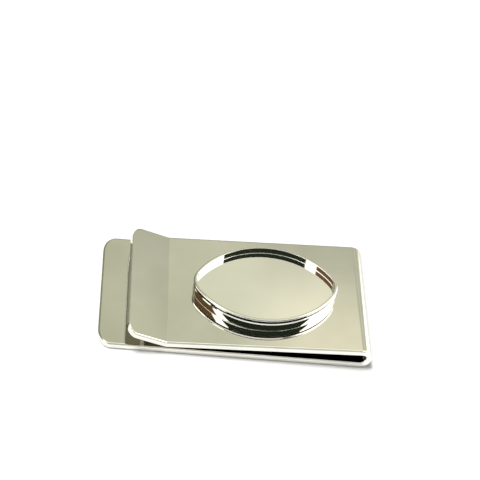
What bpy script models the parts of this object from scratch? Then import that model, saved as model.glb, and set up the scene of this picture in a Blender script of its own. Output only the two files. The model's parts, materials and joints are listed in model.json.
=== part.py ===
"""Money clip: one spring strip folded into two leaves, with an eye-shaped tray on the front leaf.

Metres, +Z up. The clip lies on its back leaf at Z = 0. The fold is at +X, the open end at -X,
and the origin is under the middle of the whole clip. The front leaf and everything on it hang
from an empty on the axis of the fold, about which the clip opens.
"""

import math

import bmesh
import bpy
from mathutils import Vector

# The strip
LENGTH = 0.0494  # open end of the back leaf to the outside of the fold
WIDTH = 0.0254
STRIP = 0.0012  # thickness of the sheet
FOLD_GAP = 0.0021  # between the leaves, where the fold begins
PINCH_GAP = 0.0003  # between the leaves at the crease, where they touch on the real clip
CREASE_REACH = 0.0348  # along the front leaf, from the fold's axis to the crease
LIP_LENGTH = 0.0073
LIP_ANGLE = math.radians(21)  # how far the lip turns up from the front leaf
CREASE_RADIUS = 0.0004  # on the hollow side of the crease
BACK_CORNER = (0.0024, 0.0034)  # rounding of the leaf's corners, along and across it
LIP_CORNER = (0.0019, 0.0028)
EDGE_ROUNDING = 0.0002

# The tray, in heights above the front leaf and offsets from its widest outline
TRAY_REACH = 0.0172  # along the front leaf, from the fold's axis to the middle of the tray
TRAY_HALF_LENGTH = 0.0132
TRAY_HALF_WIDTH = 0.0090
TRAY_TIP_RADIUS = 0.0042
TRAY_HEIGHT = 0.0030
TRAY_DEPTH = 0.0013  # from the rim down to the floor
RIM_WIDTH = 0.00055
RIM_OVERHANG = 0.00025  # how far the rim stands out over the wall
RIM_BEAD_HEIGHT = 0.0007  # from the top of the rim to where its bead meets the wall
LEDGE_WIDTH = 0.0007  # the step inside the wall that carries the floor
FLOOR_THICKNESS = 0.0006
SOLDER_THICKNESS = 0.0002

# Spaces between neighbouring pieces
GAP = 0.0003
SOLDER_GAP = 0.0001
OPENING_GAP = 0.00035  # room for the front leaf's end as the clip opens

# Steps in the round stretches
FOLD_STEPS = 24
CREASE_STEPS = 4
CORNER_STEPS = 6
SIDE_STEPS = 36
TIP_STEPS = 8
BEAD_STEPS = 6

# Follows from the sizes above
FOLD_INNER = FOLD_GAP / 2
FOLD_OUTER = FOLD_INNER + STRIP
PIVOT = Vector((LENGTH / 2 - FOLD_OUTER, 0, FOLD_OUTER))
UNDER_CREASE = Vector((CREASE_REACH, FOLD_INNER))  # from the axis, along and across the front leaf
LEAF_TILT = math.acos((PINCH_GAP - FOLD_INNER) / UNDER_CREASE.length) - math.atan2(*UNDER_CREASE)


def clear_scene():
    for thing in list(bpy.data.objects):
        bpy.data.objects.remove(thing, do_unlink=True)


def polished_metal(name, colour, roughness):
    material = bpy.data.materials.new(name)
    material.use_nodes = True
    shader = material.node_tree.nodes["Principled BSDF"]
    shader.inputs["Base Color"].default_value = (*colour, 1)
    shader.inputs["Metallic"].default_value = 1.0
    shader.inputs["Roughness"].default_value = roughness
    return material


def add_object(name, shape, material, parent=None):
    """The bmesh as an object of the scene, with its faces turned outwards."""
    bmesh.ops.recalc_face_normals(shape, faces=shape.faces)
    mesh = bpy.data.meshes.new(name)
    shape.to_mesh(mesh)
    shape.free()
    mesh.materials.append(material)
    mesh.shade_smooth()
    mesh.set_sharp_from_angle(angle=math.radians(30))
    thing = bpy.data.objects.new(name, mesh)
    bpy.context.collection.objects.link(thing)
    thing.parent = parent
    return thing


def round_edges(thing):
    bevel = thing.modifiers.new("edge_rounding", "BEVEL")
    bevel.width = EDGE_ROUNDING
    bevel.segments = 2
    bevel.limit_method = "ANGLE"
    bevel.angle_limit = math.radians(40)


def strip_solid(name, stations, material, parent=None):
    """A length of the strip. Each station is (one side's point, the other side's, half width)."""
    shape = bmesh.new()
    rows = []
    for one, other, half in stations:
        corners = ((one, -half), (one, half), (other, half), (other, -half))
        rows.append([shape.verts.new((x, y, z)) for (x, z), y in corners])
    for row, following in zip(rows, rows[1:]):
        for i in range(4):
            j = (i + 1) % 4
            shape.faces.new((row[i], row[j], following[j], following[i]))
    shape.faces.new(rows[0])
    shape.faces.new(rows[-1])
    thing = add_object(name, shape, material, parent)
    round_edges(thing)
    return thing


def corner_stations(corner):
    """Distances from a leaf's end and half widths there, round its elliptical corners."""
    along, across = corner
    for step in range(CORNER_STEPS + 1):
        turn = math.pi / 2 * step / CORNER_STEPS
        yield along * (1 - math.sin(turn)), WIDTH / 2 - across * (1 - math.cos(turn))


def back_leaf(material):
    fold_end = (PIVOT.x - GAP, WIDTH / 2)
    ends = [(distance - LENGTH / 2, half) for distance, half in corner_stations(BACK_CORNER)]
    stations = [((x, 0), (x, STRIP), half) for x, half in [fold_end] + ends]
    return strip_solid("back_leaf", stations, material)


def spring_bend(material):
    """The fold: an arc round its axis, a little over half a turn because the front leaf tilts."""
    stations = []
    for step in range(FOLD_STEPS + 1):
        turn = -math.pi / 2 + (math.pi + LEAF_TILT) * step / FOLD_STEPS
        out = Vector((math.cos(turn), math.sin(turn)))
        middle = Vector((PIVOT.x, PIVOT.z))
        stations.append((middle + out * FOLD_OUTER, middle + out * FOLD_INNER, WIDTH / 2))
    return strip_solid("spring_bend", stations, material)


def front_leaf(material, pivot):
    """Along the leaf, round the crease and up the lip, in the pivot's tilted frame."""
    stations = [((-OPENING_GAP, FOLD_INNER), (-OPENING_GAP, FOLD_OUTER), WIDTH / 2)]
    centre = Vector((-CREASE_REACH, FOLD_OUTER + CREASE_RADIUS))
    for step in range(CREASE_STEPS + 1):
        turn = LIP_ANGLE * step / CREASE_STEPS
        inward = Vector((-math.sin(turn), -math.cos(turn)))
        top = centre + inward * CREASE_RADIUS
        stations.append((top + inward * STRIP, top, WIDTH / 2))
    bottom, top, _ = stations[-1]
    rise = Vector((-math.cos(LIP_ANGLE), math.sin(LIP_ANGLE)))
    for distance, half in corner_stations(LIP_CORNER):
        run = rise * (LIP_LENGTH - distance)
        stations.append((bottom + run, top + run, half))
    return strip_solid("front_leaf", stations, material, pivot)


def eye_outline(offset):
    """The tray's outline, moved outwards by offset: two side arcs joined by two tip arcs."""
    tip_centre = TRAY_HALF_LENGTH - TRAY_TIP_RADIUS
    side_radius = (tip_centre**2 + TRAY_HALF_WIDTH**2 - TRAY_TIP_RADIUS**2) / (
        2 * (TRAY_HALF_WIDTH - TRAY_TIP_RADIUS)
    )
    side_centre = side_radius - TRAY_HALF_WIDTH
    spread = math.atan2(tip_centre, side_centre)
    points = []
    for side in (1, -1):
        for step in range(SIDE_STEPS):
            turn = spread * (1 - 2 * step / SIDE_STEPS)
            reach = side_radius + offset
            points.append((side * reach * math.sin(turn), side * (reach * math.cos(turn) - side_centre)))
        for step in range(TIP_STEPS):
            turn = -spread - (math.pi - 2 * spread) * step / TIP_STEPS
            reach = TRAY_TIP_RADIUS + offset
            points.append((side * (reach * math.sin(turn) - tip_centre), side * reach * math.cos(turn)))
    return points


def on_leaf(point, height):
    """A point of the tray's plan at a height above the front leaf, in the pivot's frame."""
    return (point[0] - TRAY_REACH, point[1], FOLD_OUTER + height)


def ring_solid(name, profile, material, pivot):
    """A closed profile of (offset, height) points, swept round the tray's outline."""
    shape = bmesh.new()
    rings = []
    for offset, height in profile:
        rings.append([shape.verts.new(on_leaf(point, height)) for point in eye_outline(offset)])
    for ring, following in zip(rings, rings[1:] + rings[:1]):
        for i in range(len(ring)):
            j = (i + 1) % len(ring)
            shape.faces.new((ring[i], ring[j], following[j], following[i]))
    return add_object(name, shape, material, pivot)


def solder_film(material, pivot):
    outer, inner = -RIM_OVERHANG, -RIM_WIDTH - LEDGE_WIDTH
    bottom, top = SOLDER_GAP, SOLDER_GAP + SOLDER_THICKNESS
    profile = [(outer, bottom), (outer, top), (inner, top), (inner, bottom)]
    return ring_solid("solder_film", profile, material, pivot)


def tray_wall(material, pivot):
    """A thin wall on its solder, stepped inside for the floor, with a round bead for a rim."""
    foot = SOLDER_THICKNESS + 2 * SOLDER_GAP
    ledge = TRAY_HEIGHT - TRAY_DEPTH - FLOOR_THICKNESS - GAP
    inner = -RIM_WIDTH
    bead = RIM_WIDTH / 2
    profile = [
        (inner - LEDGE_WIDTH, ledge),
        (inner - LEDGE_WIDTH, foot),
        (-RIM_OVERHANG, foot),
        (-RIM_OVERHANG, TRAY_HEIGHT - RIM_BEAD_HEIGHT),
    ]
    for step in range(BEAD_STEPS + 1):
        turn = math.pi * step / BEAD_STEPS
        profile.append((-bead + bead * math.cos(turn), TRAY_HEIGHT - bead + bead * math.sin(turn)))
    profile.append((inner, ledge))
    return ring_solid("tray_wall", profile, material, pivot)


def tray_floor(material, pivot):
    """The plate that rests on the wall's step."""
    shape = bmesh.new()
    top = TRAY_HEIGHT - TRAY_DEPTH
    outline = eye_outline(-RIM_WIDTH - GAP)
    face = shape.faces.new([shape.verts.new(on_leaf(point, top)) for point in outline])
    grown = bmesh.ops.extrude_face_region(shape, geom=[face])["geom"]
    moved = [item for item in grown if isinstance(item, bmesh.types.BMVert)]
    bmesh.ops.translate(shape, verts=moved, vec=(0, 0, -FLOOR_THICKNESS))
    return add_object("tray_floor", shape, material, pivot)


def add_pivot():
    """The empty on the fold's axis, tilted as the front leaf is."""
    pivot = bpy.data.objects.new("clip_pivot", None)
    bpy.context.collection.objects.link(pivot)
    pivot.location = PIVOT
    pivot.rotation_euler.y = -LEAF_TILT
    return pivot


def main():
    clear_scene()
    leaf_steel = polished_metal("leaf_steel", (0.66, 0.66, 0.62), 0.08)
    bend_steel = polished_metal("bend_steel", (0.66, 0.66, 0.62), 0.10)
    wall_steel = polished_metal("wall_steel", (0.72, 0.72, 0.68), 0.06)
    floor_steel = polished_metal("floor_steel", (0.74, 0.73, 0.68), 0.10)
    solder = polished_metal("solder", (0.60, 0.60, 0.58), 0.30)
    pivot = add_pivot()
    back_leaf(leaf_steel)
    spring_bend(bend_steel)
    front_leaf(leaf_steel, pivot)
    solder_film(solder, pivot)
    tray_wall(wall_steel, pivot)
    tray_floor(floor_steel, pivot)


main()
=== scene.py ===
"""Looks of the money clip: a polished steel strip folded into two leaves, with an eye-shaped tray.

Metres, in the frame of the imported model. The strip's three pieces are cut from one flat shape and
bent along one line, so they meet without a seam. The tray stands on the front leaf.
"""

import json
import math

import bpy
from mathutils import Matrix, Vector


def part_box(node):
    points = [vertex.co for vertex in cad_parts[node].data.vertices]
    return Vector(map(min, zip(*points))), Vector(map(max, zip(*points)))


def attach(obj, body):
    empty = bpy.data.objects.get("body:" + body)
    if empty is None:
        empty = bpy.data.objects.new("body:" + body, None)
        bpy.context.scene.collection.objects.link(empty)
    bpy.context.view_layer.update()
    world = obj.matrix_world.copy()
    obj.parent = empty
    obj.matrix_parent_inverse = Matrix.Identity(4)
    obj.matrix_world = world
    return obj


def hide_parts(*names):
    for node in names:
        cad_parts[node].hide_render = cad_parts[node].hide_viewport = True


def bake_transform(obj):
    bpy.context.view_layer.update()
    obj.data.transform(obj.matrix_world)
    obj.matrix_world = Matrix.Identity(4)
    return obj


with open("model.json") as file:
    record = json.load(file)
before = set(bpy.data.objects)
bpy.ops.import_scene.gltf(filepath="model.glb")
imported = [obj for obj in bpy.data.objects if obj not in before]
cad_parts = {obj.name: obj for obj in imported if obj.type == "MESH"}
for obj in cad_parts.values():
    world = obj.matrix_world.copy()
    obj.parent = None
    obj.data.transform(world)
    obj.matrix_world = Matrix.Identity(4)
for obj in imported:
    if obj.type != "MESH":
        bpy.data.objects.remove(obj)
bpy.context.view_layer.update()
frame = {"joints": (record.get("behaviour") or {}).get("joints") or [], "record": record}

# The strip, from the frame
JOINT = frame["joints"][0]
PIVOT = Vector(JOINT["pos_m"])
SEAT = next(m for m in frame["record"]["mounts"] if m["name"] == "tray_seat")
LEAF_UP = Vector(SEAT["axis"])
LEAF_TILT = math.atan2(-LEAF_UP.x, LEAF_UP.z)
OPEN_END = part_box("back_leaf")[0].x
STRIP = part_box("back_leaf")[1].z
WIDTH = 2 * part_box("back_leaf")[1].y
FOLD_OUTER = PIVOT.z
FOLD_INNER = FOLD_OUTER - STRIP

# The strip's bends, ends and edges
CREASE_REACH = 0.0348  # along the front leaf, from the fold's axis to the crease
CREASE_RADIUS = 0.0004
LIP_LENGTH = 0.0073
LIP_ANGLE = math.radians(21)
BACK_CORNER = (0.0024, 0.0034)  # rounding of the leaf's corners, along and across it
LIP_CORNER = (0.0019, 0.0028)
BACK_STRAIGHT = 0.006  # from the open end to the first section past the back leaf's corners
EDGE_ROLL = (0.0004, 0.00016)  # rounding of the strip's edges, along its face and through it
FOLD_WAIST = 0.0002  # how much narrower the strip is on each side in the middle of the fold
EDGE_HIGHLIGHT_SHARE = 0.6  # the edge's painted highlight, a brighter colour standing in for the bright floor the edge reflects, starts at this outward share of the normal
SEAM_REACH = 0.0004  # how far the fold's piece runs on into the flat leaves

# The tray: heights are above the front leaf, offsets are from its widest outline
TRAY_REACH = 0.0172
TRAY_HALF_LENGTH = 0.0132
TRAY_HALF_WIDTH = 0.0090
TRAY_TIP_RADIUS = 0.0042
TRAY_HEIGHT = 0.00288
TRAY_DEPTH = 0.0013
RIM_WIDTH = 0.00055
WALL_OFFSET = -0.00001
WALL_HEIGHT = 0.00162  # from the front leaf up to the slope
WALL_BULGE = 0.00004  # how much the middle of the wall's face stands out
WALL_CURVE = 0.0105  # radius of that bulge
SLOPE_OFFSET = -0.00015
SLOPE_RISE = 0.00025
NECK_OFFSET = -0.00042  # bottom of the groove under the rim
NECK_TOP = 0.00217
FLARE_OFFSET = -0.00014  # where the rim's underside starts
RIM_BEAD_HEIGHT = 0.00044
SMALL_ROUNDING = 0.00003
SHARP_ROUNDING = 0.00001
INNER_ROUNDING = 0.00010
FLOOR_THICKNESS = 0.0006
FLOOR_FILLET = 0.00009

# The solder's fillet
SOLDER_FILLET = 0.00004
SOLDER_WAVES = (0.12, 0.10)  # how much its size goes up and down in long and short waves
SOLDER_SWELLINGS = ((0.0030, 0.0007, 1.2), (-0.0062, 0.0034, 2.4))  # place along the front, reach, growth

ROUND_STEP = math.radians(12)
FILLET_STEPS = 5
EDGE_STEPS = 8
FLAT_STEPS = 6
CORNER_STEPS = 14
FOLD_STEPS = 48
CREASE_STEPS = 6
SIDE_STEPS = 96
TIP_STEPS = 28


# ---------------------------------------------------------------- the bent strip


def strip_runs():
    """The line of the strip's inner face, from the open end: (length, turn) of each run or bend."""
    fold_turn = math.pi + LEAF_TILT
    return [
        (PIVOT.x - OPEN_END, 0.0),
        (FOLD_INNER * fold_turn, fold_turn),
        (CREASE_REACH, 0.0),
        ((CREASE_RADIUS + STRIP) * LIP_ANGLE, -LIP_ANGLE),
        (LIP_LENGTH, 0.0),
    ]


def run_starts():
    starts, total = [], 0.0
    for length, _ in strip_runs():
        starts.append(total)
        total += length
    return starts, total


def strip_frame(distance):
    """The inner face's point, the direction along the strip and the outward one, at that distance."""
    point, heading, left = Vector((OPEN_END, 0, STRIP)), 0.0, distance
    runs = strip_runs()
    for number, (length, turn) in enumerate(runs):
        last = number == len(runs) - 1
        step = left if last else min(left, length)
        if turn:
            radius = length / turn
            swept = step / radius
            side = Vector((-math.sin(heading), 0, math.cos(heading)))
            centre = point + side * radius
            heading += swept
            point = centre - Vector((-math.sin(heading), 0, math.cos(heading))) * radius
        else:
            point = point + Vector((math.cos(heading), 0, math.sin(heading))) * step
        left -= step
        if left <= 0:
            break
    along = Vector((math.cos(heading), 0, math.sin(heading)))
    return point, along, Vector((math.sin(heading), 0, -math.cos(heading)))


def edge_profile():
    """Round the strip's edge: (inset, depth from the inner face, outward share, depth share)."""
    reach, drop = EDGE_ROLL
    rounding = []
    for step in range(EDGE_STEPS + 1):
        turn = math.pi / 2 * step / EDGE_STEPS
        inset, depth = reach * (1 - math.sin(turn)), drop * (1 - math.cos(turn))
        normal = Vector((math.sin(turn) / reach, math.cos(turn) / drop)).normalized()
        rounding.append((inset, depth, normal.x, normal.y))
    profile = [(inset, depth, out, -up) for inset, depth, out, up in rounding]
    profile += [(inset, STRIP - depth, out, up) for inset, depth, out, up in reversed(rounding)]
    return profile


def corner_points(end, corner, sense):
    """(distance, half width, direction of the edge's normal) round an elliptical corner, to the end."""
    along, across = corner
    points = []
    for step in range(CORNER_STEPS + 1):
        turn = math.pi / 2 * step / CORNER_STEPS
        place = end + sense * along * (math.sin(turn) - 1)
        half = WIDTH / 2 - across * (1 - math.cos(turn))
        normal = Vector((sense * math.sin(turn) / along, math.cos(turn) / across)).normalized()
        points.append((place, half, normal))
    return points


def straight_points(distances):
    return [(distance, WIDTH / 2, Vector((0, 1))) for distance in distances]


def waisted_points(start, end):
    """Round the fold, where the bent strip is a little narrower."""
    points = []
    for step in range(FOLD_STEPS + 1):
        turn = math.pi * step / FOLD_STEPS
        slope = -2 * FOLD_WAIST * math.sin(turn) * math.cos(turn) * math.pi / (end - start)
        half = WIDTH / 2 - FOLD_WAIST * math.sin(turn) ** 2
        points.append((start + (end - start) * step / FOLD_STEPS, half, Vector((-slope, 1)).normalized()))
    return points


def make_mesh(name, points, faces, normals):
    """An object from points, faces and the normals of every face's corners."""
    mesh = bpy.data.meshes.new(name)
    mesh.from_pydata(points, [], faces)
    mesh.shade_smooth()
    mesh.normals_split_custom_set([n for face in normals for n in face])
    mesh.validate()
    thing = bpy.data.objects.new(name, mesh)
    bpy.context.scene.collection.objects.link(thing)
    return thing


def strip_piece(name, outline, open_end=None):
    """A length of the strip. The outline holds one side's points; the other side mirrors it.
    At open_end, 0 for the first point or -1 for the last, the strip's rounded end closes it."""
    profile = edge_profile()
    points, point_normals, rings = [], [], []
    for side in (1, -1):
        rows = []
        for distance, half, normal in outline:
            row = []
            for inset, depth, outward, deep in profile:
                point, along, out = strip_frame(distance - normal.x * inset)
                y = side * (half - normal.y * inset)
                row.append(len(points))
                points.append(point + out * depth + Vector((0, y, 0)))
                bent = along * (normal.x * outward) + out * deep + Vector((0, side * normal.y * outward, 0))
                point_normals.append(bent)
            rows.append(row)
        rings.append(rows)
    right, left = rings
    faces, normals, cut = [], [], []

    def add(corners, flat=None, on_edge=False):
        faces.append(corners)
        normals.append([flat or point_normals[c] for c in corners])
        cut.append(on_edge)

    last = len(profile) - 1
    # The upright faces of the edge take slot 1, a brighter colour painted as a highlight for the floor they
    # reflect
    upright = [min(profile[k][2], profile[k + 1][2]) > EDGE_HIGHLIGHT_SHARE for k in range(last)]
    for i in range(len(outline) - 1):
        for k in range(last):
            add((right[i][k], right[i + 1][k], right[i + 1][k + 1], right[i][k + 1]), None, upright[k])
            add((left[i][k], left[i][k + 1], left[i + 1][k + 1], left[i + 1][k]), None, upright[k])
        add((right[i][0], left[i][0], left[i + 1][0], right[i + 1][0]))
        add((left[i][last], right[i][last], right[i + 1][last], left[i + 1][last]))
    for end in (0, -1):
        if end == open_end:
            for k in range(last):
                corners = (right[end][k], right[end][k + 1], left[end][k + 1], left[end][k])
                add(corners if end == 0 else corners[::-1], None, upright[k])
        else:
            cap = right[end] + left[end][::-1]
            flat = strip_frame(outline[end][0])[1] * (-1 if end == 0 else 1)
            add(tuple(cap if end == 0 else cap[::-1]), flat)
    piece = make_mesh(name, points, faces, normals)
    # Slot 1 holds the edge's painted highlight
    for face, on_edge in zip(piece.data.polygons, cut):
        face.material_index = int(on_edge)
    return piece


def spread(start, end, steps):
    return [start + (end - start) * step / steps for step in range(steps + 1)]


def strip_pieces():
    starts, total = run_starts()
    fold_start, fold_end, crease_start, crease_end = starts[1:]
    seam_back, seam_front = fold_start - SEAM_REACH, fold_end + SEAM_REACH
    back = corner_points(0.0, BACK_CORNER, -1)[::-1]
    back += straight_points(spread(BACK_STRAIGHT, seam_back, FLAT_STEPS))
    bend = straight_points([seam_back]) + waisted_points(fold_start, fold_end)
    bend += straight_points([seam_front])
    flat = spread(seam_front, crease_start, FLAT_STEPS)[:-1]
    crease = spread(crease_start, crease_end, CREASE_STEPS)
    front = straight_points(flat + crease) + corner_points(total, LIP_CORNER, 1)
    return (
        strip_piece("back_leaf_steel", back, 0),
        strip_piece("fold_steel", bend),
        strip_piece("front_leaf_steel", front, -1),
    )


# ---------------------------------------------------------------- the tray


def eye_outline():
    """The tray's widest outline as (place, outward direction): two side arcs joined by two tip arcs."""
    tip_centre = TRAY_HALF_LENGTH - TRAY_TIP_RADIUS
    side_radius = (tip_centre**2 + TRAY_HALF_WIDTH**2 - TRAY_TIP_RADIUS**2) / (
        2 * (TRAY_HALF_WIDTH - TRAY_TIP_RADIUS)
    )
    side_centre = side_radius - TRAY_HALF_WIDTH
    spread_angle = math.atan2(tip_centre, side_centre)
    outline = []
    for side in (1, -1):
        for step in range(SIDE_STEPS):
            turn = spread_angle * (1 - 2 * step / SIDE_STEPS)
            out = Vector((math.sin(turn), math.cos(turn))) * side
            outline.append((out * side_radius - Vector((0, side * side_centre)), out))
        for step in range(TIP_STEPS):
            turn = -spread_angle - (math.pi - 2 * spread_angle) * step / TIP_STEPS
            out = Vector((math.sin(turn), math.cos(turn))) * side
            outline.append((out * TRAY_TIP_RADIUS - Vector((side * tip_centre, 0)), out))
    return outline


def tray_matrix():
    """From the tray's plan and heights above the front leaf to the row frame."""
    along = Vector((LEAF_UP.z, 0, -LEAF_UP.x))
    middle = PIVOT + LEAF_UP * FOLD_OUTER - along * TRAY_REACH
    rotation = Matrix((along, Vector((0, 1, 0)), LEAF_UP)).transposed().to_4x4()
    return Matrix.Translation(middle) @ rotation


def rounded(corners):
    """A closed profile from corners of (offset, height, radius), counter-clockwise, each rounded.
    Its points are (offset, height, outward share of the normal, upward share)."""
    profile = []
    for i, (offset, height, radius) in enumerate(corners):
        corner = Vector((offset, height))
        before = (corner - Vector(corners[i - 1][:2])).normalized()
        after = (Vector(corners[(i + 1) % len(corners)][:2]) - corner).normalized()
        bend = math.atan2(before.cross(after), before.dot(after))
        signed = math.copysign(radius, bend)
        left = Vector((-before.y, before.x))
        centre = corner - before * radius * math.tan(abs(bend) / 2) + left * signed
        steps = max(2, math.ceil(abs(bend) / ROUND_STEP))
        heading = math.atan2(before.y, before.x)
        for step in range(steps + 1):
            turn = heading + bend * step / steps
            out = Vector((math.sin(turn), -math.cos(turn)))
            profile.append((*(centre + out * signed), *out))
    return profile


def segment_ends(profile, first, second):
    """The normals at the ends of a profile's segment, or the segment's own where they are far off it."""
    run = Vector(profile[second][:2]) - Vector(profile[first][:2])
    own = Vector((run.y, -run.x)).normalized()
    ends = [Vector(profile[end][2:]) for end in (first, second)]
    return [end if end.dot(own) > 0.5 else own for end in ends]


def swept_ring(name, profile, swell=None):
    """A closed profile swept round the outline. swell(place) scales it there about its first point."""
    outline = eye_outline()
    matrix = tray_matrix()
    turned = matrix.to_3x3()
    points, faces, normals = [], [], []
    anchor = Vector(profile[0][:2])
    for place, out in outline:
        scale = swell(place) if swell else 1.0
        for offset, height, _, _ in profile:
            spot = anchor + (Vector((offset, height)) - anchor) * scale
            plan = place + out * spot.x
            points.append(matrix @ Vector((plan.x, plan.y, spot.y)))
    count, size = len(outline), len(profile)
    for i in range(count):
        j = (i + 1) % count
        near, far = outline[i][1], outline[j][1]
        for k in range(size):
            n = (k + 1) % size
            faces.append((i * size + k, j * size + k, j * size + n, i * size + n))
            one, other = segment_ends(profile, k, n)
            around = ((near, one), (far, one), (far, other), (near, other))
            normals.append([turned @ (out * end.x).to_3d() + LEAF_UP * end.y for out, end in around])
    return make_mesh(name, points, faces, normals)


def tray_wall():
    """From the foot up: the wall, a slope, the neck, the rim's underside, its bead, the inside."""
    bead = RIM_WIDTH / 2
    corners = [
        (WALL_OFFSET - WALL_BULGE, 0.0, SMALL_ROUNDING),
        (WALL_OFFSET, WALL_HEIGHT / 2, WALL_CURVE),
        (WALL_OFFSET - WALL_BULGE, WALL_HEIGHT, SHARP_ROUNDING),
        (SLOPE_OFFSET, WALL_HEIGHT + SLOPE_RISE, SHARP_ROUNDING),
        (NECK_OFFSET, WALL_HEIGHT + SLOPE_RISE, SHARP_ROUNDING),
        (NECK_OFFSET, NECK_TOP, SMALL_ROUNDING),
        (FLARE_OFFSET, NECK_TOP, SMALL_ROUNDING),
        (0.0, TRAY_HEIGHT - RIM_BEAD_HEIGHT, SMALL_ROUNDING),
        (0.0, TRAY_HEIGHT, bead),
        (-RIM_WIDTH, TRAY_HEIGHT, INNER_ROUNDING),
        (-RIM_WIDTH, 0.0, SMALL_ROUNDING),
    ]
    profile = rounded(corners)
    wall = swept_ring("tray_wall_steel", profile)
    ledge = WALL_HEIGHT + SLOPE_RISE - SHARP_ROUNDING
    # The groove's faces take slot 1, the near-black painted shade
    groove_shade_faces = [
        ledge < height < NECK_TOP + SHARP_ROUNDING and offset > SHARP_ROUNDING - RIM_WIDTH
        for offset, height, _, _ in profile
    ]
    for number, face in enumerate(wall.data.polygons):
        place = number % len(profile)
        face.material_index = int(groove_shade_faces[place] and groove_shade_faces[(place + 1) % len(profile)])
    return wall


def tray_floor():
    """The plate inside the wall, turned up against it in a small fillet."""
    outline = eye_outline()
    matrix = tray_matrix()
    turned = matrix.to_3x3()
    top = TRAY_HEIGHT - TRAY_DEPTH
    profile = [(-RIM_WIDTH, top - FLOOR_THICKNESS, 1, 0)]
    for step in range(FILLET_STEPS + 1):
        turn = math.pi / 2 * step / FILLET_STEPS
        inset = FLOOR_FILLET * (1 - math.cos(turn))
        rise = FLOOR_FILLET * (1 - math.sin(turn))
        profile.append((-RIM_WIDTH - inset, top + rise, -math.cos(turn), math.sin(turn)))
    points, point_normals = [], []
    for place, out in outline:
        for offset, height, share, up in profile:
            spot = place + out * offset
            points.append(matrix @ Vector((spot.x, spot.y, height)))
            point_normals.append(turned @ Vector((out.x * share, out.y * share, up)))
    count, size = len(outline), len(profile)
    faces, normals = [], []
    for i in range(count):
        j = (i + 1) % count
        for k in range(size - 1):
            corners = (i * size + k, j * size + k, j * size + k + 1, i * size + k + 1)
            faces.append(corners)
            outer = [turned @ outline[spot][1].to_3d() for spot in (i, j, j, i)]
            normals.append([point_normals[c] for c in corners] if k else outer)
    faces.append(tuple(i * size + size - 1 for i in range(count)))
    normals.append([LEAF_UP] * count)
    faces.append(tuple(i * size for i in reversed(range(count))))
    normals.append([-LEAF_UP] * count)
    return make_mesh("tray_floor_steel", points, faces, normals)


def solder_size(place):
    """The fillet's uneven size: fuller at the front on the left, with one drop at the front."""
    size = 1 + SOLDER_WAVES[0] * math.sin(place.x * 2100 + 1)
    size += SOLDER_WAVES[1] * math.sin(place.x * 3700 + place.y * 900)
    for along, reach, growth in SOLDER_SWELLINGS:
        away = (place - Vector((along, -TRAY_HALF_WIDTH))).length
        size += growth * math.exp(-((away / reach) ** 2))
    return size


def solder_seam():
    """A small hollow fillet in the corner between the front leaf and the wall."""
    foot = WALL_OFFSET - WALL_BULGE
    inner = foot - SMALL_ROUNDING
    reach = foot + SOLDER_FILLET
    profile = [(inner, 0.0, 0.0, -1.0)]
    for step in range(FILLET_STEPS + 1):
        turn = math.pi / 2 * step / FILLET_STEPS
        across, up = math.sin(turn), math.cos(turn)
        profile.append((reach - SOLDER_FILLET * across, SOLDER_FILLET * (1 - up), across, up))
    profile.append((inner, SOLDER_FILLET, 0.0, 1.0))
    return swept_ring("solder_seam", profile, solder_size)


# ---------------------------------------------------------------- materials, light and camera


def node(tree, kind, inputs=(), **settings):
    """A node with its settings; inputs are values or sockets to link, in order."""
    made = tree.nodes.new(kind)
    for key, value in settings.items():
        setattr(made, key, value)
    for number, value in enumerate(inputs):
        if isinstance(value, bpy.types.NodeSocket):
            tree.links.new(value, made.inputs[number])
        elif value is not None:
            made.inputs[number].default_value = value
    return made


def math_node(tree, operation, *inputs):
    return node(tree, "ShaderNodeMath", inputs, operation=operation).outputs[0]


def mixed_colour(tree, factor, one, other):
    """Colour one where the factor is 0, the other where it is 1."""
    mix = tree.nodes.new("ShaderNodeMix")
    mix.data_type = "RGBA"
    for socket, value in ((mix.inputs[0], factor), (mix.inputs[6], one), (mix.inputs[7], other)):
        if isinstance(value, bpy.types.NodeSocket):
            tree.links.new(value, socket)
        else:
            socket.default_value = (*value, 1)
    return mix.outputs[2]


CLOUD_SCALE = 110.0
SMUDGE_SCALE = 420.0
SCRATCH_SCALE = (900, 24000, 9000)
SCRATCH_TURN = (0, 0, 0.5)
SCRATCH_DEPTH = 0.000002
GRAIN_SCALE = 900.0


def steel(name, colour, roughness, clouding=0.05):
    """Polished steel: faint clouds in its tint, smudges in its gloss, and hairline scratches."""
    material = bpy.data.materials.new(name)
    material.use_nodes = True
    tree = material.node_tree
    shader = tree.nodes["Principled BSDF"]
    place = node(tree, "ShaderNodeTexCoord").outputs["Object"]
    clouds = node(tree, "ShaderNodeTexNoise", (place, None, CLOUD_SCALE, 2.0)).outputs[0]
    clouds = node(tree, "ShaderNodeMapRange", (clouds, 0.3, 0.7, 0.0, 1.0)).outputs[0]
    dull = [share * (1 - 2 * clouding) for share in colour]
    dull[2] = colour[2] * (1 - 2.6 * clouding)
    tree.links.new(mixed_colour(tree, clouds, dull, colour), shader.inputs["Base Color"])
    smudges = node(tree, "ShaderNodeTexNoise", (place, None, SMUDGE_SCALE, 4.0)).outputs[0]
    gloss = node(tree, "ShaderNodeMapRange", (smudges, 0.35, 0.7, 0.7 * roughness, 1.6 * roughness))
    tree.links.new(gloss.outputs[0], shader.inputs["Roughness"])
    stretched = node(tree, "ShaderNodeMapping", (place, (0, 0, 0), SCRATCH_TURN, SCRATCH_SCALE))
    scratches = node(tree, "ShaderNodeTexNoise", (stretched.outputs[0], None, 1.0, 2.0)).outputs[0]
    bump = tree.nodes.new("ShaderNodeBump")
    bump.inputs["Strength"].default_value = 0.12
    bump.inputs["Distance"].default_value = SCRATCH_DEPTH
    tree.links.new(scratches, bump.inputs["Height"])
    tree.links.new(bump.outputs[0], shader.inputs["Normal"])
    shader.inputs["Metallic"].default_value = 1.0
    return material


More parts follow.
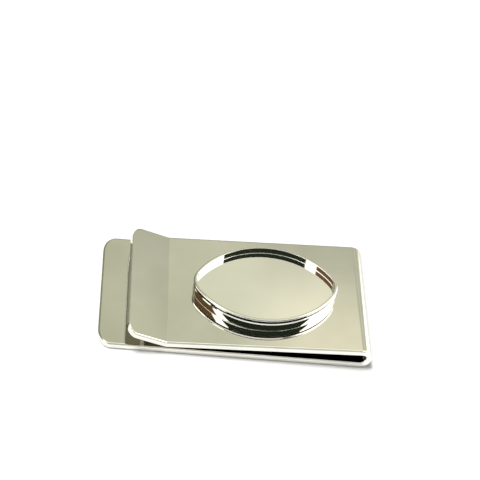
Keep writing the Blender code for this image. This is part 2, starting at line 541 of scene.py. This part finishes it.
def paper(name, colour):
    """Matt paper with a faint grain."""
    material = bpy.data.materials.new(name)
    material.use_nodes = True
    tree = material.node_tree
    shader = tree.nodes["Principled BSDF"]
    place = node(tree, "ShaderNodeTexCoord").outputs["Object"]
    grain = node(tree, "ShaderNodeTexNoise", (place, None, GRAIN_SCALE, 3.0)).outputs[0]
    shade = [0.985 * share for share in colour]
    tree.links.new(mixed_colour(tree, grain, shade, colour), shader.inputs["Base Color"])
    shader.inputs["Roughness"].default_value = 0.9
    return material


FLOOR_REACH = 3.0


def add_floor():
    mesh = bpy.data.meshes.new("floor")
    corners = [(x * FLOOR_REACH, y * FLOOR_REACH, 0) for x, y in ((-1, -1), (1, -1), (1, 1), (-1, 1))]
    mesh.from_pydata(corners, [], [(0, 1, 2, 3)])
    floor = bpy.data.objects.new("floor", mesh)
    bpy.context.scene.collection.objects.link(floor)
    mesh.materials.append(paper("floor_paper", (0.5, 0.5, 0.492)))


def ramp_down(tree, value, inner, outer):
    """1 up to inner, 0 from outer on, smooth between them."""
    limits = (value, inner, outer, 1.0, 0.0)
    return node(tree, "ShaderNodeMapRange", limits, interpolation_type="SMOOTHSTEP").outputs[0]


def sky_zone(tree, compass, elevation, turn, half_turn, middle, half_height, soft, taper):
    """A soft-edged zone of the surroundings, by compass turn and elevation in degrees. The taper
    is how much its half width shrinks for each degree upwards."""
    away = math_node(tree, "SUBTRACT", compass, math.radians(turn))
    away = math_node(tree, "WRAP", away, math.pi, -math.pi)
    above = math_node(tree, "SUBTRACT", elevation, math.radians(middle))
    narrowed = math_node(tree, "MULTIPLY", above, taper)
    across = math_node(tree, "ADD", math_node(tree, "ABSOLUTE", away), narrowed)
    up = math_node(tree, "ABSOLUTE", above)
    side = ramp_down(tree, across, math.radians(half_turn - soft), math.radians(half_turn + soft))
    rise = ramp_down(tree, up, math.radians(half_height - soft), math.radians(half_height + soft))
    return math_node(tree, "MULTIPLY", side, rise)


WHITE_WALLS = (2.4, 2.38, 2.25)
ZENITH = (0.56, 0.565, 0.46)
LOW_FRONT = (0.30, 0.30, 0.28)
CEILING = (0.70, 0.71, 0.555)
WARM_GLOW = (1.08, 1.02, 0.79)
DIM_RIGHT = (0.60, 0.60, 0.48)
GREY_LEFT = (0.38, 0.37, 0.28)
LOW_BACK = (0.22, 0.22, 0.17)
BROWN_WOOD = (0.17, 0.10, 0.045)
DARK_SIDE = (0.022, 0.030, 0.020)
BACKDROP = (0.93, 0.93, 0.92)
SOFT_FILL = (0.62, 0.62, 0.605)
# colour, turn from +X towards +Y and half width, elevation and half height, softness, taper; in degrees
SKY_ZONES = (
    (ZENITH, 0, 190, 90, 20, 3, 0.0),
    (LOW_FRONT, 278, 34, -10, 40, 9, 0.0),
    (CEILING, 99.3, 57.7, 26, 36, 2, 0.0),
    (WARM_GLOW, 65, 18, 58, 8, 3.8, 0.0),
    (DIM_RIGHT, 72, 13, 42, 6.3, 1.6, 0.0),
    (DIM_RIGHT, 54, 8, 17, 18.6, 1.6, 0.0),
    (GREY_LEFT, 128, 31, 20, 36, 4, 0.0),
    (LOW_BACK, 114, 48, 0, 28, 11, 0.0),
    (BROWN_WOOD, 170.5, 28, 42, 15, 2, 0.0),
    (DARK_SIDE, 278, 64.8, 41, 19.5, 1.5, 0.45),
)


def add_world():
    """What the steel reflects: pale walls, a duller ceiling behind, wood to the left, a dark front."""
    world = bpy.data.worlds.new("studio")
    bpy.context.scene.world = world
    world.use_nodes = True
    tree = world.node_tree
    tree.nodes.clear()
    place = node(tree, "ShaderNodeTexCoord").outputs["Generated"]
    split = node(tree, "ShaderNodeSeparateXYZ", (place,))
    compass = math_node(tree, "ARCTAN2", split.outputs[1], split.outputs[0])
    elevation = math_node(tree, "ARCSINE", split.outputs[2])
    colour = WHITE_WALLS
    for tint, *limits in SKY_ZONES:
        mask = sky_zone(tree, compass, elevation, *limits)
        colour = mixed_colour(tree, mask, colour, tint)
    reflected = node(tree, "ShaderNodeBackground", (colour, 1.0))
    ray = node(tree, "ShaderNodeLightPath")
    backdrop = mixed_colour(tree, ray.outputs["Is Camera Ray"], SOFT_FILL, BACKDROP)
    seen = node(tree, "ShaderNodeBackground", (backdrop, 1.0))
    plain = math_node(tree, "MAXIMUM", ray.outputs["Is Camera Ray"], ray.outputs["Is Diffuse Ray"])
    both = node(tree, "ShaderNodeMixShader", (plain, reflected.outputs[0], seen.outputs[0]))
    output = tree.nodes.new("ShaderNodeOutputWorld")
    tree.links.new(both.outputs[0], output.inputs["Surface"])


LIGHT_PLACE = (-0.085, 0.05, 0.44)
LIGHT_STRENGTH = 5.2
LIGHT_WIDTH = math.radians(17.5)


def add_light():
    """A broad soft light, high behind on the left, that only the floor shows."""
    data = bpy.data.lights.new("soft_light", "SUN")
    data.angle = LIGHT_WIDTH
    data.energy = LIGHT_STRENGTH
    light = bpy.data.objects.new("soft_light", data)
    light.location = LIGHT_PLACE
    light.rotation_euler = (-light.location).to_track_quat("-Z", "Y").to_euler()
    light.visible_glossy = False
    bpy.context.scene.collection.objects.link(light)


CAMERA_ANGLES = (10.37, 46.43, 12.59)  # azimuth, elevation and roll in degrees
CAMERA_DISTANCE = 0.25207
CAMERA_TARGET = Vector((0.00150, 0.01611, 0))
CAMERA_LENS = 97.5
CAMERA_SENSOR = 36


def add_camera():
    azimuth, elevation, roll = (math.radians(angle) for angle in CAMERA_ANGLES)
    forward = Vector(
        (
            math.sin(azimuth) * math.cos(elevation),
            math.cos(azimuth) * math.cos(elevation),
            -math.sin(elevation),
        )
    )
    right = Vector((math.cos(azimuth), -math.sin(azimuth), 0))
    up = right.cross(forward)
    rolled_right = right * math.cos(roll) + up * math.sin(roll)
    rolled_up = up * math.cos(roll) - right * math.sin(roll)
    data = bpy.data.cameras.new("camera")
    data.sensor_width = CAMERA_SENSOR
    data.lens = CAMERA_LENS
    data.clip_start = 0.01
    camera = bpy.data.objects.new("camera", data)
    bpy.context.scene.collection.objects.link(camera)
    rotation = Matrix((rolled_right, rolled_up, -forward)).transposed().to_4x4()
    camera.matrix_world = Matrix.Translation(CAMERA_TARGET - forward * CAMERA_DISTANCE) @ rotation
    bpy.context.scene.camera = camera


back_leaf, fold, front_leaf = strip_pieces()
wall, floor_plate, solder = tray_wall(), tray_floor(), solder_seam()

# Painted shade: the back leaf is a darker copy of the front leaf's steel, though the strip is one piece
back_leaf_shaded_steel = steel("back_leaf_steel", (0.70, 0.69, 0.64), 0.04)
front_steel = steel("front_leaf_steel", (0.775, 0.765, 0.72), 0.04)
tray_steel = steel("tray_steel", (0.80, 0.79, 0.75), 0.03)
floor_steel = steel("tray_floor_steel", (0.97, 0.955, 0.915), 0.03, 0.03)
# Painted highlight: the strip's edges are coloured far brighter than its faces, standing in for the bright
# floor they reflect
edge_highlight_steel = steel("edge_painted_highlight", (0.96, 0.95, 0.90), 0.06)
# Painted shade: the groove under the rim is near-black, standing in for the shade in the narrow crevice
groove_painted_shade = steel("groove_painted_shade", (0.12, 0.11, 0.08), 0.25)
solder_metal = steel("solder_metal", (0.72, 0.71, 0.67), 0.16)
for piece, materials, slot in (
    (back_leaf, [back_leaf_shaded_steel, edge_highlight_steel], "strip_steel"),
    (fold, [front_steel, edge_highlight_steel], "strip_steel"),
    (front_leaf, [front_steel, edge_highlight_steel], "strip_steel"),
    (wall, [tray_steel, groove_painted_shade], "tray_steel"),
    (floor_plate, [floor_steel], "tray_floor_steel"),
    (solder, [solder_metal], "solder"),
):
    for material in materials:
        piece.data.materials.append(material)

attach(back_leaf, "back")
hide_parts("back_leaf")
seam_height = strip_frame(run_starts()[0][2] + SEAM_REACH)[0].z
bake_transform(fold)
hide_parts("spring_bend")
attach(front_leaf, "front")
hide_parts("front_leaf")
for piece, name in ((wall, "tray_wall"), (floor_plate, "tray_floor"), (solder, "solder_film")):
    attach(piece, "front")
    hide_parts(name)

add_floor()
add_world()
add_light()
add_camera()
bpy.context.scene.view_settings.view_transform = "Standard"
